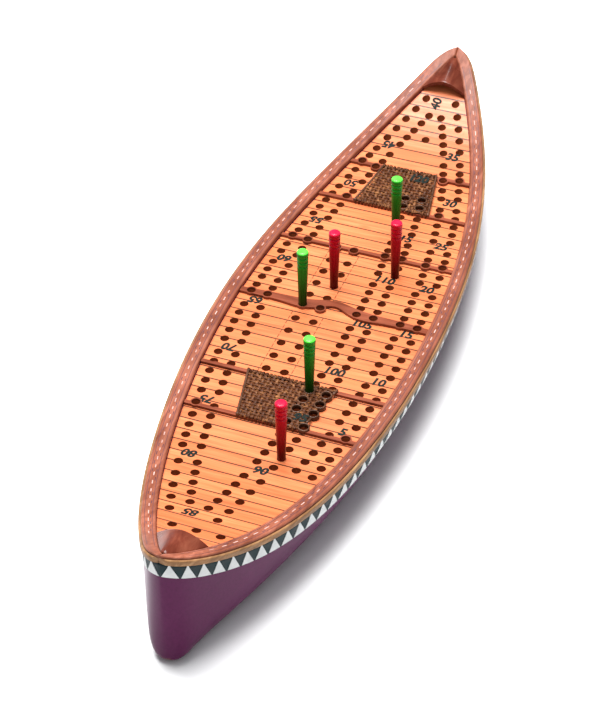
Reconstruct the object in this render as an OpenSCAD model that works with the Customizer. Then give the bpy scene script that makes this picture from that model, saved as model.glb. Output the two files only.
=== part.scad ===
// Canoe cribbage board: carved hull, drilled deck board, gunwales, rails, seats, yoke, pegs and peg store.
// +Z up, length along Y, near end at -Y, origin at the middle of the footprint, floor at z = 0. Millimetres.

/* [Overall] */
// Length from stem to stem
board_len = 340; // [260:5:520]
// Full beam over the gunwales
board_beam = 92; // [80:1:140]
// Fullness of the plan outline (smaller is fuller)
plan_power = 0.72; // [0.5:0.01:1]
// Swell of the outline right at the stems, which rounds the nose
nose_swell = 0.55; // [0:0.05:1]
// How closely the swell keeps to the stems
nose_zone = 30; // [10:2:60]
// Height of the deck amidships above the floor
deck_z = 28.2; // [26:0.2:45]
// Rise of the sheer from amidships to the tips
sheer_rise = 31.7; // [10:0.2:50]
// Dip that flattens the sheer over the middle half
sheer_dip = 6.6; // [0:0.1:15]

/* [Hull] */
// Half width of the flat bottom as a share of the half beam
bottom_share = 0.30; // [0.2:0.01:0.7]
// Squareness of the section where the side turns into the bottom
bilge_power = 2.25; // [1.5:0.05:5]
// The same squareness right at the stems, where the bow is blunt all the way down
stem_power = 5.5; // [1.5:0.5:9]
// How closely the squarer section keeps to the stems
stem_zone = 50; // [4:2:80]
// Run back of the rounded forefoot
forefoot = 1.5; // [1:0.5:20]
// Squareness of the forefoot
forefoot_power = 7; // [1.5:0.5:9]
// Extra fineness of the lowest waterline
entry_fineness = -0.3; // [-0.5:0.05:1.5]

/* [Deck] */
// Thickness of the drilled deck board
deck_t = 10; // [6:0.5:14]
// Gap all round between the deck board and its pocket
deck_gap = 0.1; // [0.05:0.05:0.5]
// Diameter of a peg hole
hole_d = 3.6; // [3:0.1:5]
// Depth of a peg hole below the deck surface
hole_depth = 8; // [5:0.5:12]

/* [Track] */
// Distance of the outer row of holes inside the outline
lane_inset = 10.5; // [8:0.1:16]
// Distance between the two rows of a lane
row_gap = 7.1; // [5:0.1:10]
// Station of the group that starts nearest amidships
group_y = 5.5; // [0:0.5:15]
// Distance from one group of five to the next
group_step = 30.6; // [25:0.1:36]
// Closing up of the groups towards the far end
group_close = 0.35; // [0:0.05:1]
// Pitch inside a group as a share of the group distance
pitch_share = 0.185; // [0.15:0.005:0.2]
// Start of the five pairs that round the near end
turn_y = -127.8; // [-135:0.1:-120]
// Pitch of the five pairs that round the near end
turn_pitch = 7.2; // [6:0.1:8]
// Pitch of the inner row there, as a share of the outer row's
turn_inner = 0.84; // [0.7:0.01:1]
// Pitch of the five pairs at the far end
end_pitch = 6.1; // [5:0.1:7]
// Pitch of the inner row there, as a share of the outer row's
end_inner = 0.78; // [0.7:0.01:1]
// Widest distance of the home lane from the centreline
home_x = 17; // [14:0.1:22]
// Curvature of the home lane
home_curve = 0.0008; // [0:0.00005:0.002]
// Centreline distance of the two columns that count games
games_x = [-5.2, -12.8]; // [-20:0.1:0]
// Farthest hole of the games columns
games_y = 45.2; // [40:0.1:55]
// Pitch of the games columns
games_pitch = 8.17; // [7:0.01:9]
// Station of the row of three holes at the near end
spare_y = -138; // [-145:0.5:-130]
// Spacing of those three holes
spare_pitch = 9.3; // [6:0.5:12]
// Station of the single finishing hole
finish_y = 125.4; // [115:0.1:130]

/* [Gunwales] */
// Width of the gunwale cap
cap_w = 5.9; // [4:0.1:9]
// Height of the gunwale cap above the deck
cap_h = 2.4; // [1.5:0.1:5]
// Thickness of the rub strip outside the gunwale
strip_t = 1.1; // [0.6:0.1:2.5]
// Height of the rub strip
strip_h = 2.6; // [1.5:0.1:4]

/* [Cross members] */
// Height of the seat rails, yoke and thwart above the deck
rail_h = 1.2; // [1:0.1:5]
// Width of a seat rail and of the thwart
rail_w = 1.8; // [1.5:0.1:6]
// Stations of the two rails under the near seat
near_rails = [-66.6, -41.8]; // [-80:0.5:-30]
// Stations of the two rails under the far seat
far_rails = [78.6, 103.6]; // [70:0.5:115]
// Station of the straight thwart
thwart_y = 45.8; // [40:0.5:55]
// Wall left round a hole drilled through a bar
eye_w = 0.5; // [0.5:0.1:2]
// Station of the middle of the carrying yoke
yoke_y = 5; // [0:0.5:12]
// Half widths of the near seat at its near and far edge
near_seat = [12.7, 18.3]; // [8:0.1:25]
// Half widths of the far seat at its near and far edge
far_seat = [16.4, 11.7]; // [8:0.1:25]
// Width of a cane strand
cane_w = 1.3; // [0.8:0.1:2]
// Pitch of the cane strands
cane_pitch = 2.3; // [1.6:0.1:4]
// Thickness of one layer of cane
cane_t = 0.6; // [0.4:0.1:1.2]

/* [Deck plates] */
// Distance of the plate edge from amidships
plate_y = 150; // [140:0.5:160]
// Height of the plate's ridge over the gunwales at its inner edge
plate_crown = 4.8; // [0.5:0.1:6]
// Thickness of a deck plate
plate_t = 2.4; // [1:0.1:3]

/* [Pegs] */
// Diameter of the peg shank that stands in the hole
peg_shank_d = 3.44; // [3:0.02:4.5]
// Diameter of the peg at its head
peg_head_d = 4.8; // [4:0.1:6]
// Height of the peg above the deck
peg_up = 28; // [20:0.5:45]
// Spacing of the ring grooves near the head
groove_step = 2.1; // [1.5:0.1:4]
// Depth of the ring grooves
groove_cut = 0.32; // [0.1:0.02:0.8]

/* [Peg store] */
// Length, width and height of the peg store
store = [17, 54, 13]; // [10:1:80]
// Thickness of the brass cover
cover_t = 1; // [0.6:0.1:2]
// Margin of the cover round the store
cover_lap = 3; // [2:0.5:6]
// Diameter of the screw the cover turns on
screw_d = 3; // [2:0.1:4]
// Diameter of the screw head
screw_head_d = 6.4; // [5:0.1:8]
// Diameter of a foot
foot_d = 8; // [6:0.5:14]
// Height of a foot
foot_h = 2.4; // [2:0.1:5]
// Position of a foot from the middle
foot_at = [6, 75]; // [5:0.5:100]

/* [Hidden] */
half_len = board_len/2;
half_beam = board_beam/2;
stations = 48;
levels = 14;
keel_z = foot_h;
hole_r = hole_d/2;
run_gap = 0.06;
side_clear = 0.1;
under_y = -(store[1]/2 + 5);

// height of the deck surface above its level amidships
function sheer(y) = let (t = abs(y)/half_len) sheer_rise*pow(t, 4) - sheer_dip*t*t;
// half width of the outline at station y
function half_w(y) = half_beam*pow(max(0, 1 - pow(y/half_len, 2)), plan_power)*nose(abs(y)/half_len);
// share by which the outline swells at t, which runs from 0 amidships to 1 at a stem
function nose(t) = 1 + nose_swell*pow(t, nose_zone);
// stations packed towards the ends, where the outline turns fastest
function station(k) = half_len*sin(-90 + 180*k/stations);
// share of a rounded corner used up at depth t: 0 at the deck edge, 1 at the bottom
function corner(t, squareness) = 1 - pow(1 - pow(min(t, 1), squareness), 1/squareness);
// one point of waterline i, counted up from the bottom: j runs once round the hull from the near stem
function ring_point(i, j) =
    let (a = -90 + 180*j/stations, c = abs(cos(a)), t = cos(90*i/levels),
         reach = half_len - forefoot*corner(t, forefoot_power),
         power = bilge_power + (stem_power - bilge_power)*pow(abs(sin(a)), stem_zone),
         beam = half_beam*(1 - (1 - bottom_share)*corner(t, power)),
         fine = 2*plan_power + entry_fineness*t*t,
         y = reach*sin(a))
    [sign(cos(a))*beam*pow(c < 1e-6 ? 0 : c, fine)*nose(abs(sin(a))), y, keel_z + (1 - t)*(deck_z + sheer(y) - keel_z)];

// first station of group g, counted from the one nearest amidships
function group_start(g) = group_y + group_step*g - group_close*g*g;
function group_pitch(g) = g == 4 ? end_pitch : pitch_share*(group_start(g + 1) - group_start(g));
// stations of all the pairs of the groups first..last
function pairs(first, last) = [for (g = [first:last], i = [0:4]) group_start(g) + i*group_pitch(g)];
turn_pairs = [for (i = [0:4]) turn_y + i*turn_pitch];
function lane_x(y) = half_w(y) - lane_inset;
function home_lane_x(y) = home_x - home_curve*y*y;
// unit vector square to a lane with slope dx/dy, towards the centreline
function inward(slope) = [-1, slope]/norm([1, slope]);
function slope_of(y) = lane_x(y + 0.5) - lane_x(y - 0.5);
outer_ys = concat(pairs(-3, 4));
// station of the inner hole of a pair: the inner row closes up round both ends
function inner_y(y) = max(min(y, group_start(4) + end_inner*(y - group_start(4))),
    turn_pairs[4] + turn_inner*(y - turn_pairs[4]));
function outer_pair(y, s) = let (v = inner_y(y), q = [lane_x(v), v] + row_gap*inward(slope_of(v)))
    [[s*lane_x(y), y], [s*q[0], q[1]]];
function home_pair(y) = let (v = inner_y(y))
    [[home_lane_x(y), y], [home_lane_x(v), v] + row_gap*inward(-2*home_curve*v)];
home_ys = concat(turn_pairs, pairs(-3, 2));
holes = concat(
    [for (y = outer_ys, p = outer_pair(y, 1)) p],
    [for (y = concat(turn_pairs, outer_ys), p = outer_pair(y, -1)) p],
    [for (y = home_ys, p = home_pair(y)) p],
    [for (x = games_x, i = [0:10]) [x, games_y - i*games_pitch]],
    [for (i = [-1:1]) [i*spare_pitch, spare_y]],
    [[0, finish_y]]);
cover_len = store[1] + 2*cover_lap + 10;

// block between two heights measured from the deck surface, following the sheer
module sheer_block(lo, hi) {
    ys = [for (k = [0:stations]) station(k)];
    rotate([90, 0, 90]) linear_extrude(2*half_beam + 20, center = true)
        polygon(concat([for (y = ys) [y, deck_z + sheer(y) + lo]],
            [for (i = [stations:-1:0]) [ys[i], deck_z + sheer(ys[i]) + hi]]));
}

// plan outline moved in by inset, full height
module plan_prism(inset) {
    ks = [for (k = [0:stations]) if (half_w(station(k)) > inset + 0.02) k];
    linear_extrude(200) polygon(concat(
        [for (k = ks) [half_w(station(k)) - inset, station(k)]],
        [for (i = [len(ks) - 1:-1:0]) [inset - half_w(station(ks[i])), station(ks[i])]]));
}

// the peg holes that come within reach of stations y0..y1
module peg_holes(y0, y1) {
    for (p = holes) if (p[1] > y0 - hole_r && p[1] < y1 + hole_r)
        translate([p[0], p[1], deck_z + sheer(p[1]) - hole_depth]) cylinder(h = hole_depth + 12, r = hole_r, $fn = 24);
}

module starboard_half(s) {
    intersection() {
        children();
        translate([s*half_beam, 0, 100]) cube([2*half_beam, 2*board_len, 200], center = true);
    }
}

module hull_body() {
    n = 2*stations;
    pts = [for (i = [0:levels], j = [0:n - 1]) ring_point(i, j)];
    top = levels*n;
    polyhedron(pts, concat(
        [for (i = [0:levels - 1], j = [0:n - 1]) [i*n + j, (i + 1)*n + j, (i + 1)*n + (j + 1) % n]],
        [for (i = [0:levels - 1], j = [0:n - 1]) [i*n + j, (i + 1)*n + (j + 1) % n, i*n + (j + 1) % n]],
        [for (j = [0:stations - 1]) each strip_faces(0, j, n, false)],
        [for (j = [0:stations - 1]) each strip_faces(top, j, n, true)]));
}

// two triangles across the hull between stations j and j + 1
function strip_faces(base, j, n, up) =
    let (a = base + j, b = base + j + 1, c = base + n - j - 1, d = base + (n - j) % n)
    [for (f = [[a, b, c], [a, c, d]]) if (f[0] != f[1] && f[1] != f[2] && f[0] != f[2])
        up ? [f[2], f[1], f[0]] : f];

module hull() {
    color([0.36, 0.12, 0.20]) difference() {
        hull_body();
        intersection() {
            plan_prism(cap_w);
            sheer_block(-deck_t, 20);
        }
        translate([0, 0, keel_z + store[2]/2 - 0.5]) cube([store[0], store[1], store[2] + 1], center = true);
        translate([0, under_y, keel_z - 1]) cylinder(h = 13, r = screw_d/2 + run_gap, $fn = 32);
    }
}

module deck() {
    color([0.93, 0.68, 0.44]) difference() {
        intersection() {
            plan_prism(cap_w + deck_gap);
            sheer_block(-deck_t, 0);
        }
        peg_holes(-half_len, half_len);
    }
}

module gunwale(s) {
    color([0.66, 0.36, 0.28]) starboard_half(s) difference() {
        intersection() {
            plan_prism(0);
            sheer_block(0, cap_h);
        }
        plan_prism(cap_w);
    }
}

module rub_strip(s) {
    color([0.72, 0.62, 0.42]) starboard_half(s) difference() {
        intersection() {
            plan_prism(-strip_t);
            sheer_block(-strip_h/2, strip_h/2);
        }
        plan_prism(-0.02);
    }
}

// eyes that carry a bar round the holes drilled through it at station y
module eyes(y) {
    for (p = holes) if (abs(p[1] - y) < hole_r) translate(p) circle(r = hole_r + eye_w, $fn = 24);
}

// straight bar between the gunwales, resting on the deck
module cross_bar(y) {
    color([0.60, 0.30, 0.22]) difference() {
        intersection() {
            plan_prism(cap_w + side_clear);
            linear_extrude(200) {
                translate([0, y]) square([2*half_beam, rail_w], center = true);
                eyes(y);
            }
            sheer_block(0, rail_h);
        }
        peg_holes(y - rail_w/2 - hole_r, y + rail_w/2 + hole_r);
    }
}

function bump(x, w) = exp(-pow(x/w, 2));
function yoke_far(x) = 2.6 + 3*bump(x, 9) - 1.7*pow(abs(x)/half_beam, 3);
function yoke_near(x) = -1.4 + 3.6*bump(x, 6) - bump(abs(x) - 14, 7);

module yoke() {
    xs = [for (i = [-30:30]) i*half_beam/30];
    color([0.60, 0.30, 0.22]) difference() {
        intersection() {
            plan_prism(cap_w + side_clear);
            linear_extrude(200) {
                translate([0, yoke_y]) polygon(concat(
                    [for (x = xs) [x, yoke_near(x)]],
                    [for (i = [60:-1:0]) [xs[i], yoke_far(xs[i])]]));
                eyes(yoke_y);
            }
            sheer_block(0, rail_h);
        }
        peg_holes(yoke_y - 6, yoke_y + 6);
    }
}

// trapezoid seat outline between stations y0 and y1
module seat_plan(y0, y1, w, lap) {
    polygon([[-w[0] - lap, y0 - lap], [w[0] + lap, y0 - lap], [w[1] + lap, y1 + lap], [-w[1] - lap, y1 + lap]]);
}

// woven seat: one layer of strands each way over a bound edge, lying on the two rails
module cane_seat(rails, w) {
    y0 = rails[0] - rail_w/2;
    y1 = rails[1] + rail_w/2;
    n = ceil(max(w)/cane_pitch);
    m = floor((y1 - y0)/cane_pitch);
    color([0.47, 0.29, 0.19]) difference() {
        union() {
            intersection() {
                sheer_block(rail_h, rail_h + cane_t);
                linear_extrude(200) intersection() {
                    seat_plan(y0, y1, w, 0);
                    for (i = [-n:n]) translate([i*cane_pitch, (y0 + y1)/2])
                        square([cane_w, y1 - y0 + 4], center = true);
                }
            }
            intersection() {
                sheer_block(rail_h + cane_t, rail_h + 2*cane_t);
                linear_extrude(200) intersection() {
                    seat_plan(y0, y1, w, 0);
                    for (j = [0:m]) translate([0, y0 + j*cane_pitch]) square([60, cane_w], center = true);
                }
            }
            intersection() {
                sheer_block(rail_h, rail_h + 2*cane_t);
                linear_extrude(200) difference() {
                    seat_plan(y0, y1, w, 0.5);
                    seat_plan(y0, y1, w, -1);
                }
            }
        }
        peg_holes(y0 - 3, y1 + 3);
    }
}

// breasthook between the gunwales at one end: an arched shell whose ridge runs down to the tip
module deck_plate(s) {
    half = half_w(plate_y) - cap_w;
    arch_r = (plate_crown*plate_crown + half*half)/(2*plate_crown);
    run = half_len - 5 - plate_y;
    tilt = atan((sheer(plate_y + run) - sheer(plate_y) - plate_crown)/run);
    color([0.50, 0.16, 0.12]) mirror([0, s < 0 ? 1 : 0, 0]) intersection() {
        plan_prism(cap_w + 0.02);
        sheer_block(0.3, 20);
        translate([-half_beam, plate_y, 0]) cube([board_beam, half_len, 200]);
        translate([0, plate_y, deck_z + sheer(plate_y) + cap_h + plate_crown]) rotate([tilt - 90, 0, 0])
            translate([0, arch_r, -10]) difference() {
                cylinder(h = 40, r = arch_r, $fn = 120);
                translate([0, 0, -1]) cylinder(h = 42, r = arch_r - plate_t, $fn = 120);
            }
    }
}

// turned peg standing in a hole: shank, taper, ring grooves and a domed head
module peg(x, y, shade) {
    z0 = deck_z + sheer(y);
    r0 = peg_shank_d/2;
    r1 = peg_head_d/2;
    dome = 0.9;
    body = peg_up - dome;
    function taper(h) = r0 + (r1 - r0)*(h - 3.4)/(body - 3.4);
    marks = [for (i = [0:2]) body - 1.8 - i*groove_step];
    side = [for (i = [2:-1:0]) each [[taper(marks[i] - 0.45), marks[i] - 0.45],
        [taper(marks[i]) - groove_cut, marks[i]], [taper(marks[i] + 0.45), marks[i] + 0.45]]];
    color(shade) translate([x, y, z0]) rotate_extrude($fn = 48) polygon(concat(
        [[0, -hole_depth + 0.3], [r0 - 0.4, -hole_depth + 0.3], [r0, -hole_depth + 0.9], [r0, 3.4]],
        side, [[r1, body], [r1 - 0.35, body + 0.6], [r1 - 1.1, peg_up], [0, peg_up]]));
}

module store_cover() {
    color([0.78, 0.62, 0.30]) translate([0, 0, keel_z - cover_t - 0.1]) difference() {
        translate([0, under_y, 0]) linear_extrude(cover_t) {
            translate([-store[0]/2 - cover_lap, 0]) square([store[0] + 2*cover_lap, cover_len - 8]);
            circle(r = store[0]/2 + cover_lap, $fn = 96);
        }
        translate([0, under_y, -1]) cylinder(h = cover_t + 2, r = screw_d/2 + run_gap, $fn = 64);
    }
}

module store_screw() {
    color([0.72, 0.70, 0.66]) translate([0, under_y, 0]) difference() {
        union() {
            translate([0, 0, keel_z - cover_t - 0.2 - 1]) cylinder(h = 1, d = screw_head_d, $fn = 64);
            translate([0, 0, keel_z - cover_t - 0.2]) cylinder(h = 12, d = screw_d, $fn = 64);
        }
        translate([0, 0, keel_z - cover_t - 1.5]) cube([0.9, screw_head_d + 1, 1.6], center = true);
    }
}

module foot(x, y) {
    color([0.16, 0.15, 0.15]) translate([x, y, 0]) {
        cylinder(h = 0.6, r1 = foot_d/2 - 0.6, r2 = foot_d/2, $fn = 64);
        translate([0, 0, 0.6]) cylinder(h = foot_h - 0.6, d = foot_d, $fn = 64);
    }
}

red = [0.80, 0.07, 0.14];
green = [0.12, 0.55, 0.16];
function third_of(g, i) = group_start(g) + i*group_pitch(g);

hull();
deck();
gunwale(-1);  // gunwale_port
gunwale(1);  // gunwale_starboard
rub_strip(-1);  // strip_port
rub_strip(1);  // strip_starboard
cross_bar(near_rails[0]);  // seat_near_rail_a
cross_bar(near_rails[1]);  // seat_near_rail_b
cross_bar(far_rails[0]);  // seat_far_rail_a
cross_bar(far_rails[1]);  // seat_far_rail_b
cane_seat(near_rails, near_seat);  // seat_near_cane
cane_seat(far_rails, far_seat);  // seat_far_cane
yoke();
cross_bar(thwart_y);  // thwart
deck_plate(-1);  // plate_near
deck_plate(1);  // plate_far
peg(games_x[0], games_y - 3*games_pitch, red);  // peg_red_1
peg(home_pair(third_of(1, 0))[0][0], home_pair(third_of(1, 0))[0][1], red);  // peg_red_2
peg(home_pair(third_of(-3, 1))[0][0], home_pair(third_of(-3, 1))[0][1], red);  // peg_red_3
peg(games_x[1], games_y - 5*games_pitch, green);  // peg_green_1
peg(home_pair(third_of(2, 0))[1][0], home_pair(third_of(2, 0))[1][1], green);  // peg_green_2
peg(home_pair(third_of(-2, 2))[1][0], home_pair(third_of(-2, 2))[1][1], green);  // peg_green_3
store_cover();
store_screw();
foot(-foot_at[0], -foot_at[1]);  // foot_1
foot(foot_at[0], -foot_at[1]);  // foot_2
foot(-foot_at[0], foot_at[1]);  // foot_3
foot(foot_at[0], foot_at[1]);  // foot_4
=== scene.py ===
"""Looks of a canoe cribbage board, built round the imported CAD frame.

Lengths are in millimetres until MM turns them into metres.
"""
import math
import random

import bmesh
import bpy
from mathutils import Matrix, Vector


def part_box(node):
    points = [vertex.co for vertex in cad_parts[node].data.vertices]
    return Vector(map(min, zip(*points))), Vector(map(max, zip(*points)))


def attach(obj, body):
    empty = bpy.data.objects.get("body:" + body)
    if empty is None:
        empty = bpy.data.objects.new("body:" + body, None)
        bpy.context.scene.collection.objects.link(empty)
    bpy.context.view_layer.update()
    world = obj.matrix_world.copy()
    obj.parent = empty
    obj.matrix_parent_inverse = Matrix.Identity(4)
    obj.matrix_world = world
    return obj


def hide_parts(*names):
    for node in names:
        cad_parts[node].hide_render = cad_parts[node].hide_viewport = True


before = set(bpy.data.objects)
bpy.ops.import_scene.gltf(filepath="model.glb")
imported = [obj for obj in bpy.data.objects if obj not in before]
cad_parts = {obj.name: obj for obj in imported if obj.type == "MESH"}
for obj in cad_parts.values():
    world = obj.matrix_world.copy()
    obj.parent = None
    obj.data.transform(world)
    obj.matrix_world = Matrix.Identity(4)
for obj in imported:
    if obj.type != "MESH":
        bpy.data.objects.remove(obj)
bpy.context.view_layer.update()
rng = random.Random(7)

MM = 0.001
HALF_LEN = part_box("hull")[1].y / MM
HALF_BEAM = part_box("hull")[1].x / MM
PLAN_POWER, ENTRY_FINENESS, NOSE_SWELL, NOSE_ZONE = 0.72, -0.3, 0.55, 30
DECK_Z, KEEL_Z = 28.2, 2.4
SHEER_RISE, SHEER_DIP = 31.7, 6.6
BOTTOM_SHARE, BILGE_POWER, STEM_POWER, STEM_ZONE = 0.30, 2.25, 5.5, 50
FOREFOOT, FOREFOOT_POWER = 1.5, 7.0
CAP_W, CAP_H, STRIP_T, STRIP_H = 5.9, 2.4, 1.1, 2.6
DECK_T, HOLE_R, HOLE_DEPTH = 10.0, 1.8, 8.0
RAIL_H, RAIL_W = 1.2, 1.8
LANE_INSET, ROW_GAP = 10.5, 7.1
GROUP_Y, GROUP_STEP, GROUP_CLOSE, PITCH_SHARE = 5.5, 30.6, 0.35, 0.185
PAINT_T = 0.3
TURN_Y, TURN_PITCH, TURN_INNER, END_PITCH, END_INNER = -127.8, 7.2, 0.84, 6.1, 0.78
HOME_X, HOME_CURVE = 17.0, 0.0008
GAMES_X, GAMES_Y, GAMES_PITCH = (-5.2, -12.8), 45.2, 8.17
SPARE_Y, SPARE_PITCH, FINISH_Y = -138.0, 9.3, 125.4
NEAR_RAILS, FAR_RAILS, THWART_Y, YOKE_Y = (-66.6, -41.8), (78.6, 103.6), 45.8, 5.0
NEAR_SEAT, FAR_SEAT = (12.7, 18.3), (16.4, 11.7)
PLATE_Y, PLATE_T, PLATE_CROWN = 150.0, 1.7, 4.8
PEG_SHANK_R, PEG_HEAD_R, PEG_UP = 1.72, 2.4, 28.0
STORE = (17.0, 54.0, 13.0)
PLANK = 6.2
STRAND_STEP = 0.25
LOOP_PITCH = 1.5
BAND_H = 6.5
TRIANGLE_PITCH = 7.25
STITCH_PITCH = 4.9
RING_PITCH = 2.1
NUMERAL_SIZE, NUMERAL_WEIGHT = 5.7, 0.24


# ---------------------------------------------------------------- shape rules
def sheer(y):
    t = abs(y) / HALF_LEN
    return SHEER_RISE * t ** 4 - SHEER_DIP * t * t


def deck_top(y):
    return DECK_Z + sheer(y)


def half_w(y):
    return HALF_BEAM * max(0.0, 1 - (y / HALF_LEN) ** 2) ** PLAN_POWER * nose(abs(y) / HALF_LEN)


def nose(t):
    """Swell of the outline right at the stems."""
    return 1 + NOSE_SWELL * t ** NOSE_ZONE


def corner(t, squareness):
    return 1 - (1 - min(t, 1.0) ** squareness) ** (1 / squareness)


def hull_at(angle, t):
    """A point of the hull's skin.

    The angle is -90 degrees at the near stem and 0 to starboard; t is 0 at the deck edge and 1 at the keel.
    """
    reach = HALF_LEN - PAINT_T - FOREFOOT * corner(t, FOREFOOT_POWER)
    c, s = math.cos(angle), abs(math.sin(angle))
    power = BILGE_POWER + (STEM_POWER - BILGE_POWER) * s ** STEM_ZONE
    beam = HALF_BEAM * (1 - (1 - BOTTOM_SHARE) * corner(t, power)) * nose(s)
    y = reach * math.sin(angle)
    x = beam * abs(c) ** (2 * PLAN_POWER + ENTRY_FINENESS * t * t) if abs(c) > 1e-6 else 0.0
    return Vector((math.copysign(x, c), y, KEEL_Z + (1 - t) * (deck_top(y) - KEEL_Z)))


def hull_point(angle, depth):
    """The same, by depth below the deck edge."""
    return hull_at(angle, depth / (deck_top(HALF_LEN * math.sin(angle)) - KEEL_Z))


def hull_normal(angle, depth):
    e = 0.004
    da = hull_point(angle + e, depth) - hull_point(angle - e, depth)
    dd = hull_point(angle, depth + 0.2) - hull_point(angle, depth - 0.2)
    n = dd.cross(da)
    return n.normalized() if n.length > 1e-9 else Vector((0, math.copysign(1, math.sin(angle)), 0))


def group_start(g):
    return GROUP_Y + GROUP_STEP * g - GROUP_CLOSE * g * g


def group_pitch(g):
    return END_PITCH if g == 4 else PITCH_SHARE * (group_start(g + 1) - group_start(g))


def pairs(first, last):
    return [group_start(g) + i * group_pitch(g) for g in range(first, last + 1) for i in range(5)]


def lane_x(y):
    return half_w(y) - LANE_INSET


def pair(x, y, slope, side=1):
    n = math.hypot(1, slope)
    return [(side * x, y), (side * (x - ROW_GAP / n), y + ROW_GAP * slope / n)]


def inner_y(y):
    """Station of the inner hole of a pair: the inner row closes up round both ends."""
    near, far = TURN_Y + 4 * TURN_PITCH, group_start(4)
    if y > far:
        return far + END_INNER * (y - far)
    return near + TURN_INNER * (y - near) if y < near else y


def outer_pair(y, side):
    v = inner_y(y)
    return [pair(lane_x(w), w, lane_x(w + 0.5) - lane_x(w - 0.5), side)[k] for k, w in enumerate((y, v))]


def home_pair(y):
    v = inner_y(y)
    return [pair(HOME_X - HOME_CURVE * w * w, w, -2 * HOME_CURVE * w)[k] for k, w in enumerate((y, v))]


turn = [TURN_Y + i * TURN_PITCH for i in range(5)]
holes = [p for y in pairs(-3, 4) for p in outer_pair(y, 1)]
holes += [p for y in turn + pairs(-3, 4) for p in outer_pair(y, -1)]
holes += [p for y in turn + pairs(-3, 2) for p in home_pair(y)]
holes += [(x, GAMES_Y - i * GAMES_PITCH) for x in GAMES_X for i in range(11)]
holes += [(i * SPARE_PITCH, SPARE_Y) for i in (-1, 0, 1)] + [(0.0, FINISH_Y)]


# ---------------------------------------------------------------- mesh tools
def mesh_object(name, verts, faces, mat, smooth=True):
    """A new mesh object from points in millimetres, its normals pointing out."""
    me = bpy.data.meshes.new(name)
    me.from_pydata([tuple(c * MM for c in v) for v in verts], [], faces)
    bm = bmesh.new()
    bm.from_mesh(me)
    bmesh.ops.remove_doubles(bm, verts=bm.verts, dist=1e-8)
    bmesh.ops.recalc_face_normals(bm, faces=bm.faces)
    for f in bm.faces:
        f.smooth = smooth
    bm.to_mesh(me)
    bm.free()
    ob = bpy.data.objects.new(name, me)
    bpy.context.scene.collection.objects.link(ob)
    me.materials.append(mat)
    return ob


def join_parts(parts):
    """One list of points and faces from several."""
    verts, faces = [], []
    for v, f in parts:
        base = len(verts)
        verts += v
        faces += [[i + base for i in q] for q in f]
    return verts, faces


def tube(rings, closed_ends=True):
    """Quads between successive rings of points, with end caps."""
    n = len(rings[0])
    verts = [p for r in rings for p in r]
    faces = [[i * n + j, i * n + (j + 1) % n, (i + 1) * n + (j + 1) % n, (i + 1) * n + j]
             for i in range(len(rings) - 1) for j in range(n)]
    if closed_ends:
        faces += [list(range(n))[::-1], [(len(rings) - 1) * n + j for j in range(n)]]
    return verts, faces


def shell(grid_out, grid_in):
    """A closed sheet between two grids of points of the same size."""
    rows, cols = len(grid_out), len(grid_out[0])
    verts = [p for r in grid_out for p in r] + [p for r in grid_in for p in r]
    top = rows * cols
    faces = []
    for i in range(rows - 1):
        for j in range(cols - 1):
            a = i * cols + j
            faces.append([a, a + 1, a + cols + 1, a + cols])
            faces.append([top + a, top + a + cols, top + a + cols + 1, top + a + 1])
    edge = [i * cols for i in range(rows)] + [(rows - 1) * cols + j for j in range(1, cols)]
    edge += [i * cols + cols - 1 for i in range(rows - 2, -1, -1)] + [j for j in range(cols - 2, 0, -1)]
    for k, a in enumerate(edge):
        b = edge[(k + 1) % len(edge)]
        faces.append([a, b, top + b, top + a])
    return verts, faces


def around(x, y, r, z, n):
    """n points on a level circle."""
    return [(x + r * math.cos(2 * math.pi * k / n), y + r * math.sin(2 * math.pi * k / n), z) for k in range(n)]


def lathe(profile, x, y, z, n=48):
    """Closed solid of revolution from (radius, height) points that start and end on the axis."""
    verts, faces = [(x, y, z + profile[0][1])], []
    for r, h in profile[1:-1]:
        verts += around(x, y, r, z + h, n)
    verts.append((x, y, z + profile[-1][1]))
    last = len(verts) - 1
    for i in range(len(profile) - 3):
        a = 1 + i * n
        faces += [[a + k, a + (k + 1) % n, a + n + (k + 1) % n, a + n + k] for k in range(n)]
    faces += [[0, 1 + (k + 1) % n, 1 + k] for k in range(n)]
    a = 1 + (len(profile) - 3) * n
    faces += [[last, a + k, a + (k + 1) % n] for k in range(n)]
    return verts, faces


def sleeve(x, y, z0, z1, r_in, r_out, n=28):
    """Short tube standing on end, its two rims closed."""
    profile = [(r_in, z0), (r_out, z0), (r_out, z1 - 0.2),
               (r_out - 0.2, z1), (r_in + 0.12, z1), (r_in, z1 - 0.15)]
    verts = [p for r, z in profile for p in around(x, y, r, z, n)]
    m = len(profile)
    faces = [[i * n + k, i * n + (k + 1) % n, (i + 1) % m * n + (k + 1) % n, (i + 1) % m * n + k]
             for i in range(m) for k in range(n)]
    return verts, faces


def cut(target, cutters, name):
    """target with the cutters taken out of it, as plain mesh."""
    for c in cutters:
        m = target.modifiers.new("cut", "BOOLEAN")
        m.object, m.operation, m.solver = c, "DIFFERENCE", "EXACT"
    dg = bpy.context.evaluated_depsgraph_get()
    me = bpy.data.meshes.new_from_object(target.evaluated_get(dg))
    target.modifiers.clear()
    target.data = me
    target.name = me.name = name
    for c in cutters:
        bpy.data.objects.remove(c)
    return target


def place(ob, body="board", replaces=()):
    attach(ob, body)
    if replaces:
        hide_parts(*replaces)
    return ob


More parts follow.
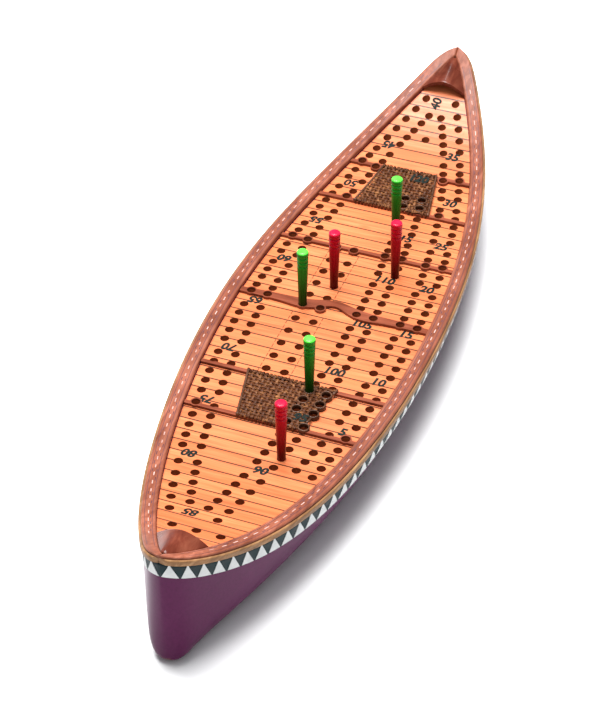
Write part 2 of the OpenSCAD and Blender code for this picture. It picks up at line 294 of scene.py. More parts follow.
# ---------------------------------------------------------------- materials
class Paint:
    """A material with short names for the nodes it is made of."""

    def __init__(self, name, roughness=0.4, coat=0.0, coat_roughness=0.1, metallic=0.0, gloss=0.3):
        self.mat = bpy.data.materials.new(name)
        self.mat.use_nodes = True
        self.nt = self.mat.node_tree
        self.bsdf = self.nt.nodes["Principled BSDF"]
        self.bsdf.inputs["Roughness"].default_value = roughness
        self.bsdf.inputs["Coat Weight"].default_value = coat
        self.bsdf.inputs["Coat Roughness"].default_value = coat_roughness
        self.bsdf.inputs["Metallic"].default_value = metallic
        self.bsdf.inputs["Specular IOR Level"].default_value = 0.5 if metallic else gloss
        coords = self.nt.nodes.new("ShaderNodeTexCoord")
        self.where = coords.outputs["Object"]

    def node(self, kind, **values):
        n = self.nt.nodes.new(kind)
        for k, v in values.items():
            if k in n.inputs:
                self.feed(n.inputs[k], v)
            else:
                setattr(n, k, v)
        return n

    def feed(self, socket, value):
        if isinstance(value, bpy.types.NodeSocket):
            self.nt.links.new(value, socket)
        else:
            socket.default_value = value

    def scaled(self, scale, where=None):
        n = self.node("ShaderNodeMapping")
        self.feed(n.inputs["Vector"], where or self.where)
        n.inputs["Scale"].default_value = scale
        return n.outputs["Vector"]

    def noise(self, where, scale=5.0, detail=4.0, roughness=0.6, distortion=0.0):
        n = self.node("ShaderNodeTexNoise", Scale=scale, Detail=detail, Roughness=roughness,
                      Distortion=distortion)
        self.feed(n.inputs["Vector"], where)
        return n.outputs["Fac"]

    def ramp(self, fac, *stops):
        n = self.node("ShaderNodeValToRGB")
        self.feed(n.inputs["Fac"], fac)
        el = n.color_ramp.elements
        while len(el) < len(stops):
            el.new(0.5)
        for e, (p, c) in zip(el, stops):
            e.position = p
            e.color = c if len(c) == 4 else (*c, 1.0)
        return n.outputs["Color"]

    def mix(self, fac, a, b, blend="MIX"):
        n = self.node("ShaderNodeMix", data_type="RGBA", blend_type=blend)
        self.feed(n.inputs[0], fac)
        for s, v in ((n.inputs[6], a), (n.inputs[7], b)):
            self.feed(s, v if isinstance(v, bpy.types.NodeSocket) else (*v, 1.0))
        return n.outputs[2]

    def math(self, op, a, b=0.0, c=0.0):
        n = self.node("ShaderNodeMath", operation=op)
        for s, v in zip(n.inputs, (a, b, c)):
            self.feed(s, v)
        return n.outputs[0]

    def axis(self, name):
        n = self.node("ShaderNodeSeparateXYZ")
        self.feed(n.inputs[0], self.where)
        return n.outputs[name]

    def colour(self, socket):
        self.feed(self.bsdf.inputs["Base Color"], socket)

    def rough(self, socket):
        self.feed(self.bsdf.inputs["Roughness"], socket)

    def bump(self, height, strength, distance, after=None):
        n = self.node("ShaderNodeBump", Strength=strength, Distance=distance)
        self.feed(n.inputs["Height"], height)
        if after:
            self.feed(n.inputs["Normal"], after)
        self.feed(self.bsdf.inputs["Normal"], n.outputs["Normal"])
        return n.outputs["Normal"]


def grey(v):
    return (v, v, v)


def wood(name, dark, mid, light, grain, roughness=0.35, coat=0.35, blotch=0.35):
    """Varnished wood: streaks along the direction with the small scale, slow blotches, and a slight bump along
    the streaks.
    """
    p = Paint(name, roughness, coat, 0.12, gloss=0.12)
    streak = p.noise(p.scaled(grain), 1.0, 6.0, 0.62, 0.6)
    slow = p.noise(p.scaled((60, 60, 60)), 1.0, 3.0, 0.5)
    base = p.ramp(streak, (0.25, dark), (0.5, mid), (0.72, light))
    tint = p.ramp(slow, (0.3, grey(1 - blotch)), (0.7, grey(1.0)))
    p.colour(p.mix(1.0, base, tint, "MULTIPLY"))
    p.rough(p.ramp(slow, (0.3, grey(roughness * 0.8)), (0.7, grey(roughness * 1.25))))
    p.bump(streak, 0.25, 0.00015)
    return p


def deck_paint():
    """Planks across the canoe, each a little different, with fine seams, grain and a few knots, and painted
    shade on the walls of the peg holes.
    """
    p = Paint("deck_planks", 0.42, 0.1, 0.15, gloss=0.22)
    y = p.axis("Y")
    k = p.math("DIVIDE", y, PLANK * MM)
    number = p.math("FLOOR", k)
    white = p.node("ShaderNodeTexWhiteNoise", noise_dimensions="1D")
    p.feed(white.inputs["W"], number)
    offset = p.node("ShaderNodeCombineXYZ")
    p.feed(offset.inputs["X"], p.math("MULTIPLY", white.outputs["Value"], 3.0))
    shifted = p.node("ShaderNodeVectorMath", operation="ADD")
    p.feed(shifted.inputs[0], p.where)
    p.feed(shifted.inputs[1], offset.outputs[0])
    grain = p.noise(p.scaled((38, 620, 500), shifted.outputs[0]), 1.0, 6.0, 0.6, 0.5)
    slow = p.noise(p.scaled((30, 90, 90), shifted.outputs[0]), 1.0, 3.0, 0.5, 0.4)
    base = p.ramp(grain, (0.22, (0.42, 0.095, 0.032)), (0.5, (0.61, 0.165, 0.064)),
                  (0.75, (0.71, 0.235, 0.102)))
    tint = p.ramp(white.outputs["Value"], (0.0, (0.86, 0.80, 0.74)), (0.5, (1.0, 0.97, 0.93)), (1.0, grey(1.0)))
    base = p.mix(1.0, base, tint, "MULTIPLY")
    base = p.mix(p.ramp(slow, (0.45, grey(0.0)), (0.75, grey(0.55))), base, (0.56, 0.135, 0.040))
    knot = p.node("ShaderNodeTexVoronoi", Scale=1.0)
    p.feed(knot.inputs["Vector"], p.scaled((42, 95, 60), shifted.outputs[0]))
    spots = p.ramp(knot.outputs["Distance"], (0.05, grey(0.5)), (0.16, grey(0.0)))
    base = p.mix(spots, base, (0.36, 0.095, 0.030))
    seam = p.math("ABSOLUTE", p.math("SUBTRACT", p.math("FRACT", k), 0.5))
    line = p.ramp(seam, (0.446, grey(0.0)), (0.464, grey(1.0)))
    base = p.mix(line, base, (0.050, 0.017, 0.008))
    # Painted shade: faces below the deck top, the walls of the peg holes and the deck's edges, are painted a
    # darker brown than the planks, darkest just under the rim and lighter further down.
    t2 = p.math("POWER", p.math("DIVIDE", y, HALF_LEN * MM), 2.0)
    rise = p.math("MULTIPLY", t2, p.math("SUBTRACT", p.math("MULTIPLY", t2, SHEER_RISE * MM), SHEER_DIP * MM))
    depth = p.math("SUBTRACT", p.math("ADD", rise, DECK_Z * MM), p.axis("Z"))
    wall_shade_depth = p.math("DIVIDE", depth, 0.004)
    base = p.mix(p.ramp(wall_shade_depth, (0.02, grey(0.0)), (0.05, grey(1.0))), base,
                 p.ramp(wall_shade_depth, (0.0, (0.26, 0.065, 0.022)), (0.4, (0.34, 0.085, 0.028)),
                        (1.0, (0.42, 0.11, 0.035))))
    p.colour(base)
    p.rough(p.ramp(grain, (0.3, grey(0.45)), (0.7, grey(0.30))))
    first = p.bump(p.math("SUBTRACT", 1.0, line), 0.6, 0.0003)
    p.bump(grain, 0.2, 0.00012, first)
    return p


def hull_paint():
    p = Paint("hull_plum", 0.30, 0.04, 0.06, gloss=0.05)
    slow = p.noise(p.scaled((14, 14, 14)), 1.0, 3.0, 0.5)
    fine = p.noise(p.scaled((900, 900, 900)), 1.0, 2.0, 0.5)
    base = p.ramp(slow, (0.3, (0.066, 0.007, 0.042)), (0.7, (0.092, 0.013, 0.060)))
    specks = p.ramp(fine, (0.2, grey(0.85)), (0.6, grey(1.0)))
    base = p.mix(1.0, base, specks, "MULTIPLY")
    foot = p.ramp(p.math("DIVIDE", p.axis("Z"), 0.02), (0.15, grey(1.0)), (0.5, grey(0.0)))
    worn = p.math("MULTIPLY", foot, p.noise(p.scaled((160, 160, 160)), 1.0, 5.0, 0.7))
    p.colour(p.mix(p.ramp(worn, (0.50, grey(0.0)), (0.62, grey(0.6))), base, (0.16, 0.07, 0.06)))
    p.rough(p.ramp(slow, (0.3, grey(0.24)), (0.7, grey(0.36))))
    p.bump(p.noise(p.scaled((45, 45, 45)), 1.0, 2.0, 0.4), 0.08, 0.0008)
    return p


def flat_paint(name, low, high, roughness=0.4, coat=0.3, scale=300):
    p = Paint(name, roughness, coat, 0.15, gloss=0.12)
    n = p.noise(p.scaled((scale,) * 3), 1.0, 5.0, 0.6)
    p.colour(p.ramp(n, (0.3, low), (0.7, high)))
    p.rough(p.ramp(n, (0.3, grey(roughness * 0.8)), (0.7, grey(min(1, roughness * 1.3)))))
    p.bump(n, 0.12, 0.00012)
    return p


def peg_paint(name, base, low):
    """Enamel with painted shade: darker lower down the peg and brighter towards the head, set by height above
    the deck with a little noise.
    """
    p = Paint(name, 0.38, 0.0, 0.08, gloss=0.12)
    n = p.noise(p.scaled((260, 260, 90)), 1.0, 4.0, 0.6)
    height = p.math("DIVIDE", p.math("SUBTRACT", p.axis("Z"), DECK_Z * MM), PEG_UP * MM)
    shade = p.math("ADD", height, p.math("MULTIPLY", p.math("SUBTRACT", n, 0.5), 0.35))
    p.colour(p.ramp(shade, (0.1, low), (0.85, base)))
    p.rough(p.ramp(n, (0.3, grey(0.16)), (0.7, grey(0.30))))
    p.bump(n, 0.08, 0.0001)
    return p


hull_mat = hull_paint().mat
deck_mat = deck_paint().mat
cap_mat = wood("cap_wood", (0.150, 0.040, 0.021), (0.265, 0.080, 0.045), (0.37, 0.135, 0.084),
               (420, 30, 420), 0.42, 0.03).mat
bar_mat = wood("bar_wood", (0.13, 0.028, 0.012), (0.23, 0.055, 0.026), (0.33, 0.09, 0.045),
               (30, 420, 320), 0.36, 0.25).mat
strip_mat = wood("strip_wood", (0.13, 0.060, 0.024), (0.27, 0.135, 0.058), (0.40, 0.22, 0.10),
                 (400, 24, 500), 0.45, 0.0).mat
plate_mat = wood("plate_wood", (0.07, 0.012, 0.007), (0.145, 0.030, 0.016), (0.23, 0.064, 0.035),
                 (260, 40, 260), 0.28, 0.22, 0.45).mat
cane_mat = wood("cane_strand", (0.034, 0.010, 0.003), (0.095, 0.029, 0.010), (0.34, 0.14, 0.050),
                (420, 420, 700), 0.5, 0.0, 0.35).mat
bind_mat = wood("cane_binding", (0.045, 0.018, 0.010), (0.10, 0.042, 0.022), (0.20, 0.09, 0.05),
                (500, 500, 500), 0.45, 0.2, 0.5).mat
band_mat = flat_paint("band_slate", (0.003, 0.011, 0.013), (0.008, 0.024, 0.028), 0.5, 0.0).mat
tri_mat = flat_paint("triangle_white", (0.50, 0.52, 0.52), (0.62, 0.63, 0.62), 0.5, 0.0).mat
dash_mat = flat_paint("dash_white", (0.36, 0.20, 0.17), (0.60, 0.40, 0.36), 0.6, 0.0).mat
mark_mat = flat_paint("mark_dark", (0.05, 0.02, 0.03), (0.10, 0.05, 0.07), 0.5, 0.1).mat
ink_mat = flat_paint("numeral_ink", (0.003, 0.006, 0.005), (0.010, 0.016, 0.013), 0.6, 0.0).mat
seam_mat = flat_paint("keel_dash", (0.10, 0.030, 0.012), (0.16, 0.05, 0.02), 0.6, 0.0).mat
# The second colour of each peg material is its painted shade, used low on the peg.
red_mat = peg_paint("peg_red", (0.42, 0.001, 0.012), (0.080, 0.0003, 0.0006)).mat
green_mat = peg_paint("peg_green", (0.010, 0.20, 0.010), (0.005, 0.032, 0.001)).mat
# Painted highlight: the peg heads get brighter copies of the peg colours, standing in for light on their domed
# tops.
red_head_highlight = flat_paint("peg_red_head_highlight", (0.46, 0.004, 0.026), (0.62, 0.012, 0.05), 0.3, 0.15).mat
green_head_highlight = flat_paint("peg_green_head_highlight", (0.06, 0.55, 0.03), (0.12, 0.75, 0.07), 0.3, 0.3).mat


def metal(name, low, high, roughness):
    p = Paint(name, roughness, metallic=1.0)
    brushed = p.noise(p.scaled((1500, 60, 400)), 1.0, 4.0, 0.6)
    stain = p.noise(p.scaled((90, 90, 90)), 1.0, 4.0, 0.6)
    p.colour(p.mix(p.ramp(stain, (0.35, grey(0.0)), (0.75, grey(0.8))), high, low))
    p.rough(p.ramp(brushed, (0.3, grey(roughness * 0.8)), (0.7, grey(roughness * 1.4))))
    p.bump(brushed, 0.1, 0.00005)
    return p.mat


brass_mat = metal("cover_brass", (0.42, 0.26, 0.08), (0.72, 0.50, 0.20), 0.3)
steel_mat = metal("screw_steel", (0.30, 0.29, 0.27), (0.60, 0.58, 0.54), 0.3)
foot_mat = flat_paint("foot_rubber", (0.012, 0.012, 0.012), (0.035, 0.034, 0.033), 0.8, 0.0).mat


# ---------------------------------------------------------------- hull
def plan_points(inset, n=120):
    side = []
    for k in range(n + 1):
        y = HALF_LEN * math.sin(math.radians(-90 + 180 * k / n))
        if half_w(y) > inset + 0.02:
            side.append((half_w(y) - inset, y))
    return side + [(-x, y) for x, y in reversed(side)]


def make_hull():
    n, levels = 192, 30
    rings = []
    for i in range(levels + 1):
        t = math.cos(math.radians(90 * i / levels))
        rings.append([hull_at(math.radians(-90 + 360 * j / n), t) for j in range(n)])
    verts, faces = tube(rings, False)
    for base in (0, levels * n):
        faces += [[base + j, base + j + 1, base + n - j - 1, base + (n - j) % n] for j in range(1, n // 2 - 1)]
        faces += [[base, base + 1, base + n - 1], [base + n // 2 - 1, base + n // 2, base + n // 2 + 1]]
    body = mesh_object("hull_skin", verts, faces, hull_mat)
    outline = plan_points(CAP_W)
    low = [(x, y, deck_top(y) - DECK_T) for x, y in outline]
    high = [(x, y, deck_top(y) + 4) for x, y in outline]
    half = len(outline) // 2
    verts = low + high
    faces = [[i, (i + 1) % len(low), len(low) + (i + 1) % len(low), len(low) + i] for i in range(len(low))]
    for base, turned in ((0, True), (len(low), False)):
        for i in range(half - 1):
            q = [base + i, base + i + 1, base + len(low) - 2 - i, base + len(low) - 1 - i]
            faces.append(q[::-1] if turned else q)
    pocket = mesh_object("pocket", verts, faces, hull_mat, False)
    bpy.ops.mesh.primitive_cube_add(size=1, location=(0, 0, (KEEL_Z + STORE[2] / 2 - 0.5) * MM))
    store = bpy.context.object
    store.scale = (STORE[0] * MM, STORE[1] * MM, (STORE[2] + 1) * MM)
    store.data.materials.append(hull_mat)
    hull = cut(body, [pocket, store], "hull_body")
    for f in hull.data.polygons:
        f.use_smooth = f.area < 4e-4
    return place(hull, replaces=("hull",))


def band(side):
    """Dark band painted round the hull under the rub strip, with its white triangles on it."""
    d0, d1 = STRIP_H / 2 - 0.1, STRIP_H / 2 + BAND_H
    steps = 150
    grids = []
    for off in (0.16, -0.3):
        grid = []
        for i in range(steps + 1):
            a = math.radians(-89.99 + 179.98 * i / steps)
            row = []
            for d in [d0 + (d1 - d0) * t / 4 for t in range(5)]:
                p = hull_point(a, d) + hull_normal(a, d) * off
                row.append(((p.x if side > 0 else -p.x), p.y, p.z))
            grid.append(row)
        grids.append(grid)
    name = "starboard" if side > 0 else "port"
    place(mesh_object("band_" + name, *shell(*grids), band_mat))

    table, run, last = [], 0.0, None
    for i in range(1801):
        a = math.radians(-90 + 0.1 * i)
        p = hull_point(a, 4.5)
        if last is not None:
            run += (p - last).length
        table.append((run, a))
        last = p
    count = round(run / TRIANGLE_PITCH)

    def angle_at(s):
        s = min(max(s, 0.0), run)
        lo, hi = 0, len(table) - 1
        while hi - lo > 1:
            mid = (lo + hi) // 2
            lo, hi = (mid, hi) if table[mid][0] <= s else (lo, mid)
        f = (s - table[lo][0]) / max(1e-9, table[hi][0] - table[lo][0])
        return table[lo][1] + f * (table[hi][1] - table[lo][1])

    parts = []
    base, apex = d1 - 0.15, d0 + 0.25
    for k in range(count):
        mid = (k + 0.5) * run / count
        half = 0.5 * run / count * rng.uniform(0.84, 0.93)
        lean = rng.uniform(-0.25, 0.25)
        grids = []
        for off in (0.30, 0.05):
            grid = []
            for r in range(6):
                t = r / 5
                row = []
                for q in range(7):
                    s = mid + lean * (1 - t) + (q / 3 - 1) * half * max(0.04, t)
                    a, d = angle_at(s), apex + (base - apex) * t
                    a = min(max(a, math.radians(-89.9)), math.radians(89.9))
                    p = hull_point(a, d) + hull_normal(a, d) * off
                    row.append(((p.x if side > 0 else -p.x), p.y, p.z))
                grid.append(row)
            grids.append(grid)
        parts.append(shell(*grids))
    place(mesh_object("triangles_" + name, *join_parts(parts), tri_mat, False))


# ---------------------------------------------------------------- gunwales
def rounded(w, h, r, n=4):
    """Corner-rounded rectangle from (0, 0) to (w, h)."""
    r = min(r, w * 0.45, h * 0.45)
    pts = []
    for cx, cy, a0 in ((w - r, r, -90), (w - r, h - r, 0), (r, h - r, 90), (r, r, 180)):
        turns = [math.radians(a0 + 90 * i / n) for i in range(n + 1)]
        pts += [(cx + r * math.cos(a), cy + r * math.sin(a)) for a in turns]
    return pts


def along(n=220):
    return [HALF_LEN * math.sin(math.radians(-89.2 + 178.4 * k / n)) for k in range(n + 1)]


def gunwale(side, name):
    rings = []
    for y in along():
        outer = half_w(y)
        inner = max(0.0, outer - CAP_W)
        z = deck_top(y)
        rings.append([(side * (inner + px), y, z + pz) for px, pz in rounded(outer - inner, CAP_H, 0.75)])
    cap = mesh_object("gunwale_cap_" + name, *tube(rings), cap_mat)
    place(cap, replaces=("gunwale_" + name,))
    dashes, marks = [], []
    for k in range(-31, 32):
        y0 = k * STITCH_PITCH
        for lst, dx, wd, ln, dy in ((dashes, 0.0, 0.38, 2.0, 0.0), (marks, 0.85, 0.28, 1.9, 2.4),
                                    (marks, -0.85, 0.28, 1.9, 2.4)):
            yy = y0 + dy + rng.uniform(-0.3, 0.3)
            ln *= rng.uniform(0.75, 1.1)
            if abs(yy) + ln > HALF_LEN - 8 or (lst is marks and rng.random() < 0.25):
                continue
            grids = []
            for up in (0.06, -0.3):
                grid = []
                for i in range(5):
                    y = yy + (i / 4 - 0.5) * ln
                    x = half_w(y) - CAP_W / 2 + dx
                    z = deck_top(y) + CAP_H + up
                    grid.append([(side * (x - wd / 2), y, z), (side * (x + wd / 2), y, z)])
                grids.append(grid)
            lst.append(shell(*grids))
    for dx in (1.5, -1.5):
        ys = [y for y in along(160) if abs(y) < HALF_LEN - 7]
        grids = [[[(side * (half_w(y) - CAP_W / 2 + dx + w), y, deck_top(y) + CAP_H + up)
                   for w in (-0.09, 0.09)] for y in ys] for up in (0.04, -0.3)]
        marks.append(shell(*grids))
    place(mesh_object("stitch_" + name, *join_parts(dashes), dash_mat, False))
    place(mesh_object("stitch_edge_" + name, *join_parts(marks), mark_mat, False))


def rub_strip(side, name):
    rings = []
    for k in range(221):
        a = math.radians(-89.6 + 179.2 * k / 220)
        y0 = HALF_LEN * math.sin(a)
        slope = (half_w(y0 + 0.01) - half_w(y0 - 0.01)) / 0.02
        n = Vector((1, -slope, 0)).normalized()
        ring = []
        for px, pz in rounded(STRIP_T, STRIP_H, 0.55):
            x = half_w(y0) + (px - 0.1) * n.x
            y = max(-HALF_LEN, min(HALF_LEN, y0 + (px - 0.1) * n.y))
            ring.append((side * max(0.0, x), y, deck_top(y0) - STRIP_H / 2 + pz))
        rings.append(ring)
    strip = mesh_object("rub_strip_" + name, *tube(rings), strip_mat)
    place(strip, replaces=("strip_" + name,))


# ---------------------------------------------------------------- cross members
def restyle(node, mat, width=0.25, segments=2):
    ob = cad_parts[node]
    ob.data.materials.clear()
    ob.data.materials.append(mat)
    if width:
        m = ob.modifiers.new("soft_edges", "BEVEL")
        m.width, m.segments, m.limit_method, m.angle_limit = width * MM, segments, "ANGLE", math.radians(40)
    return ob


# ---------------------------------------------------------------- seats
def strand(points, rx, rz, across):
    """A flat strand swept along points; across is the direction its width lies in."""
    rings = []
    for i, p in enumerate(points):
        before, after = points[max(0, i - 1)], points[min(len(points) - 1, i + 1)]
        t = Vector([after[k] - before[k] for k in range(3)])
        t = t.normalized() if t.length > 1e-9 else Vector((0, 1, 0))
        s = Vector(across)
        s = (s - t * s.dot(t)).normalized()
        u = t.cross(s)
        turns = [math.radians(45 * q) for q in range(8)]
        rings.append([tuple(Vector(p) + s * rx * math.cos(a) + u * rz * math.sin(a)) for a in turns])
    return tube(rings)


def split_at_holes(points, clear, near_holes):
    """The stretches of a strand that miss every peg hole."""
    runs, run = [], []
    for p in points:
        if any(math.hypot(p[0] - hx, p[1] - hy) < clear for hx, hy in near_holes):
            if len(run) > 2:
                runs.append(run)
            run = []
        else:
            run.append(p)
    if len(run) > 2:
        runs.append(run)
    return runs


def seat(name, rails, widths):
    """Woven panel, the sleeves of the holes through it, the loops round its rails and its edge cords."""
    y0, y1 = rails[0] - RAIL_W / 2, rails[1] + RAIL_W / 2
    near_holes = [h for h in holes if y0 - 4 < h[1] < y1 + 4]
    pitch, rx, rz, sway = 1.75, 0.60, 0.17, 0.20

    def half(y):
        return widths[0] + (widths[1] - widths[0]) * (y - y0) / (y1 - y0)

    def mid_z(y):
        return deck_top(y) + RAIL_H + 0.56

    n_x = int(max(widths) / pitch)
    rows = [y0 + 0.9 + pitch * j for j in range(int((y1 - y0 - 1.6) / pitch) + 1)]
    strands = []
    for i in range(-n_x, n_x + 1):
        x = i * pitch
        ys = [y0 + STRAND_STEP * q for q in range(int((y1 - y0) / STRAND_STEP) + 1)]
        ys = [y for y in ys if half(y) > abs(x) + 0.5]
        if len(ys) < 6:
            continue
        jig = rng.uniform(-0.06, 0.06)
        pts = [(x + jig, y, mid_z(y) + sway * math.cos(math.pi * ((y - rows[0]) / pitch + i))) for y in ys]
        strands += [strand(r, rx, rz, (1, 0, 0)) for r in split_at_holes(pts, HOLE_R + 0.45, near_holes)]
    for j, y in enumerate(rows):
        w = half(y) - 0.4
        jig = rng.uniform(-0.05, 0.05)
        xs = [-w + STRAND_STEP * q for q in range(int(2 * w / STRAND_STEP) + 1)]
        pts = [(x, y + jig, mid_z(y) - sway * math.cos(math.pi * (x / pitch + j))) for x in xs]
        strands += [strand(r, rx, rz, (0, 1, 0)) for r in split_at_holes(pts, HOLE_R + 0.45, near_holes)]
    place(mesh_object(name + "_weave", *join_parts(strands), cane_mat), replaces=(name + "_cane",))
    rims = [sleeve(hx, hy, deck_top(hy) + 0.02, mid_z(hy) + 0.34, HOLE_R, HOLE_R + 0.6) for hx, hy in near_holes
            if y0 - 0.3 < hy < y1 + 0.3 and abs(hx) < half(hy) + 1.4]
    place(mesh_object(name + "_eyelets", *join_parts(rims), bind_mat))
    loops = []
    for y_rail, out in ((rails[0], -1), (rails[1], 1)):
        w = half(y_rail)
        for i in range(int(2 * w / LOOP_PITCH) + 1):
            x = -w + 0.3 + i * LOOP_PITCH
            if x > w or any(math.hypot(x - hx, y_rail - hy) < HOLE_R + 1.2 for hx, hy in near_holes):
                continue
            e = y_rail + out * (RAIL_W / 2 + 0.12)
            z = deck_top(y_rail)
            top = z + RAIL_H
            pts = [(x, y_rail - out * 0.9, top + 0.85), (x, y_rail, top + 0.95), (x, e - out * 0.5, top + 0.85),
                   (x, e - out * 0.1, top + 0.45), (x, e, top - 0.2), (x, e, z + 0.3)]
            loops.append(strand(pts, 0.42, 0.2, (1, 0, 0)))
    place(mesh_object(name + "_loops", *join_parts(loops), cane_mat))
    cords = []
    for side in (-1, 1):
        ys = [y0 + (y1 - y0) * q / 24 for q in range(25)]
        pts = [(side * (half(y) + 0.1), y, mid_z(y) + 0.05) for y in ys]
        for r in split_at_holes(pts, HOLE_R + 0.5, near_holes):
            cords.append(strand(r, 0.5, 0.5, (1, 0, 0)))
    place(mesh_object(name + "_edge", *join_parts(cords), bind_mat))


# ---------------------------------------------------------------- deck plates
def deck_plate(end, name):
    """Breasthook between the gunwales: arched, its ridge running down to the tip."""
    cols, rows, run = 25, 21, HALF_LEN - 4.5 - PLATE_Y
    grids = []
    for up in (0.0, -PLATE_T):
        grid = []
        for i in range(rows):
            t = i / (rows - 1)
            row = []
            for j in range(cols):
                u = 2 * j / (cols - 1) - 1
                y = PLATE_Y + run * t
                w = max(0.02, half_w(y) - CAP_W - 0.03)
                crown = (PLATE_CROWN - 0.15) * (1 - t) ** 0.6 * (1 - abs(u) ** 1.8)
                row.append((u * w, end * y, deck_top(y) + CAP_H - 0.15 + up + crown))
            grid.append(row)
        grids.append(grid)
    ob = mesh_object("breasthook_" + name, *shell(*grids), plate_mat)
    m = ob.modifiers.new("soft_edges", "BEVEL")
    m.width, m.segments, m.limit_method, m.angle_limit = 0.35 * MM, 3, "ANGLE", math.radians(50)
    place(ob, replaces=("plate_" + name,))


# ---------------------------------------------------------------- pegs
def peg(node, x, y, mat, head_highlight_mat):
    """Turned peg standing in its hole: straight shank, tapered body, three rings and a domed head."""
    z = deck_top(y)
    shoulder = 3.4
    body = PEG_UP - 0.9

    def r_at(h):
        return PEG_SHANK_R + (PEG_HEAD_R - PEG_SHANK_R) * max(0.0, h - shoulder) / (body - shoulder)

    tip = 0.3 - HOLE_DEPTH
    prof = [(0, tip), (PEG_SHANK_R - 0.4, tip), (PEG_SHANK_R, -HOLE_DEPTH + 0.9), (PEG_SHANK_R, shoulder)]
    marks = [body - 1.8 - RING_PITCH * i for i in (2, 1, 0)]
    prof += [(r_at(h), h) for h in (8, 13, 17, marks[0] - 0.8)]
    for m in marks:
        for dh, cut_in in ((-0.5, 0.0), (-0.3, 0.12), (-0.12, 0.28), (0.12, 0.28), (0.3, 0.12), (0.5, 0.0)):
            prof.append((r_at(m + dh) - cut_in, m + dh))
    prof += [(PEG_HEAD_R, body - 0.3), (PEG_HEAD_R, body + 0.1), (PEG_HEAD_R - 0.12, body + 0.45),
             (PEG_HEAD_R - 0.4, body + 0.75), (PEG_HEAD_R - 0.8, PEG_UP - 0.02), (0.9, PEG_UP), (0, PEG_UP)]
    ob = mesh_object(node + "_turned", *lathe(prof, x, y, z), mat)
    ob.data.materials.append(head_highlight_mat)
    # The faces of the domed head take the second material, a brighter copy of the peg colour as painted
    # highlight.
    for f in ob.data.polygons:
        if f.center.z > (z + body + 0.3) * MM:
            f.material_index = 1
    place(ob, node, replaces=(node,))


# ---------------------------------------------------------------- numerals and inlays
def numeral(text, x, y, turned, lift=0.03):
    """Figures in ink, laid along the sheer of the deck at the height lift above it."""
    curve = bpy.data.curves.new("n" + text, "FONT")
    curve.body = text
    curve.size = NUMERAL_SIZE * MM
    curve.offset = NUMERAL_WEIGHT * MM
    curve.align_x = curve.align_y = "CENTER"
    curve.extrude = 0.02 * MM
    curve.shear = 0.15
    curve.resolution_u = 3
    tmp = bpy.data.objects.new("n" + text, curve)
    bpy.context.scene.collection.objects.link(tmp)
    tmp.location = (x * MM, y * MM, 0)
    tmp.rotation_euler = (0, 0, math.radians(turned))
    bpy.context.view_layer.update()
    me = bpy.data.meshes.new_from_object(tmp.evaluated_get(bpy.context.evaluated_depsgraph_get()))
    me.transform(tmp.matrix_world)
    for v in me.vertices:
        v.co.z += (deck_top(v.co.y / MM) + lift) * MM
    bpy.data.objects.remove(tmp)
    me.name = "numeral_" + text
    me.materials.clear()
    me.materials.append(ink_mat)
    ob = bpy.data.objects.new("numeral_" + text, me)
    bpy.context.scene.collection.objects.link(ob)
    place(ob)


def gap_after(g):
    """Station midway between the last pair of group g and the first of the next."""
    return (group_start(g) + 4 * group_pitch(g) + group_start(g + 1)) / 2


def home_x_mid(y):
    return HOME_X - HOME_CURVE * y * y - ROW_GAP / 2


def numerals():
    on_cane = RAIL_H + 1.0
    for k, g in enumerate(range(-3, 4)):
        y = gap_after(g)
        x = lane_x(y) - ROW_GAP / 2
        numeral(str(5 + 5 * k), x, y, 0)
        numeral(str(75 - 5 * k), -x, y, 180)
        if g < 2:
            numeral(str(95 + 5 * k), home_x_mid(y), y, 0, on_cane if g == -3 else 0.03)
    near_y = TURN_Y + 4 * TURN_PITCH + 6
    numeral("40", -1.5, 145.0, 90)
    numeral("80", ROW_GAP / 2 - lane_x(near_y), near_y, 180)
    numeral("85", -6.7, TURN_Y + 0.8, 180)
    numeral("90", home_x_mid(near_y), near_y, 0)
    numeral("120", 5.2, 99.3, 0, on_cane)


def flat_bar(x0, x1, y0, y1, up):
    """Thin bar lying on the deck, raised by up."""
    grids = []
    for dz in (up, -0.2):
        grids.append([[(x0, y, deck_top(y) + dz), (x1, y, deck_top(y) + dz)] for y in (y0, (y0 + y1) / 2, y1)])
    return shell(*grids)


def keel_dashes():
    parts = []
    for x in (-2.3, -15.4):
        y = NEAR_RAILS[1] + 2.5
        while y < THWART_Y - 3:
            if abs(y + 1 - YOKE_Y) > 4.2:
                parts.append(flat_bar(x - 0.16, x + 0.16, y, y + 2.1, 0.04))
            y += 3.1
    place(mesh_object("keel_dashes", *join_parts(parts), seam_mat, False))


make_hull()
for s, side_name in ((1, "starboard"), (-1, "port")):
    band(s)
    gunwale(s, side_name)
    rub_strip(s, side_name)
restyle("deck", deck_mat, 0)
for bar in ("seat_near_rail_a", "seat_near_rail_b", "seat_far_rail_a", "seat_far_rail_b", "yoke", "thwart"):
    restyle(bar, bar_mat, 0.3)
seat("seat_near", NEAR_RAILS, NEAR_SEAT)
seat("seat_far", FAR_RAILS, FAR_SEAT)
deck_plate(1, "far")
deck_plate(-1, "near")
peg("peg_red_1", GAMES_X[0], GAMES_Y - 3 * GAMES_PITCH, red_mat, red_head_highlight)
peg("peg_red_2", *home_pair(group_start(1))[0], red_mat, red_head_highlight)
peg("peg_red_3", *home_pair(group_start(-3) + group_pitch(-3))[0], red_mat, red_head_highlight)
peg("peg_green_1", GAMES_X[1], GAMES_Y - 5 * GAMES_PITCH, green_mat, green_head_highlight)
peg("peg_green_2", *home_pair(group_start(2))[1], green_mat, green_head_highlight)
peg("peg_green_3", *home_pair(group_start(-2) + 2 * group_pitch(-2))[1], green_mat, green_head_highlight)
restyle("store_cover", brass_mat, 0.2)
restyle("store_screw", steel_mat, 0.15)
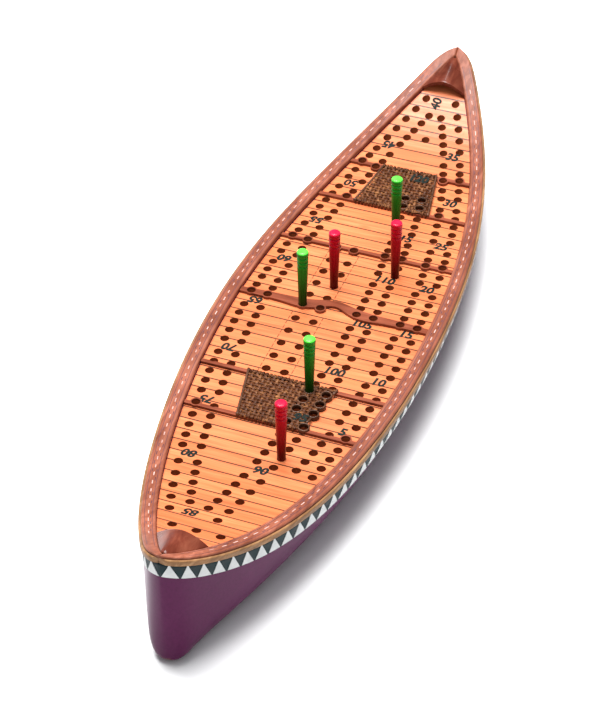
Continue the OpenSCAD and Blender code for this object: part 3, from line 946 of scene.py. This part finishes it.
for k in (1, 2, 3, 4):
    restyle("foot_%d" % k, foot_mat, 0.2)
numerals()
keel_dashes()


# ---------------------------------------------------------------- floor, light, camera
bpy.ops.mesh.primitive_plane_add(size=6, location=(0, 0, 0))
floor = bpy.context.object
floor.name = "floor"
ground = Paint("floor_white", 0.6)
tone = ground.noise(ground.scaled((3, 3, 3)), 1.0, 2.0, 0.5)
ground.colour(ground.ramp(tone, (0.0, (0.88, 0.885, 0.89)), (1.0, (0.90, 0.90, 0.905))))
floor.data.materials.append(ground.mat)

world = bpy.data.worlds.new("studio")
bpy.context.scene.world = world
world.use_nodes = True
world.node_tree.nodes["Background"].inputs["Color"].default_value = (0.93, 0.96, 1.0, 1)
world.node_tree.nodes["Background"].inputs["Strength"].default_value = 0.15


def lamp(name, where, energy, size, aim, tint=(1, 1, 1)):
    data = bpy.data.lights.new(name, "AREA")
    data.energy, data.size, data.color = energy, size, tint
    ob = bpy.data.objects.new(name, data)
    bpy.context.scene.collection.objects.link(ob)
    ob.location = where
    ob.rotation_euler = (Vector(aim) - Vector(where)).to_track_quat("-Z", "Y").to_euler()


lamp("key", (-0.16, 0.12, 1.10), 36, 0.7, (0, 0, 0.02))
lamp("fill", (0.30, -0.60, 1.00), 3.5, 0.9, (0, 0, 0.02), (0.96, 0.98, 1.0))

AZ, EL, DISTANCE = math.radians(20.44), math.radians(40.25), 863.3
SENSOR, LENS = 36.0, 111.4576
aim = Vector((-3.28, -24.2, DECK_Z)) * MM
back = Vector((math.sin(AZ) * math.cos(EL), -math.cos(AZ) * math.cos(EL), math.sin(EL)))
cam_data = bpy.data.cameras.new("camera")
cam_data.sensor_fit = "AUTO"
cam_data.sensor_width = SENSOR
cam_data.lens = LENS
cam_data.clip_start, cam_data.clip_end = 0.05, 20
cam = bpy.data.objects.new("camera", cam_data)
bpy.context.scene.collection.objects.link(cam)
cam.location = aim + back * DISTANCE * MM
cam.rotation_euler = (-back).to_track_quat("-Z", "Y").to_euler()
bpy.context.scene.camera = cam
bpy.context.scene.view_settings.view_transform = "Standard"
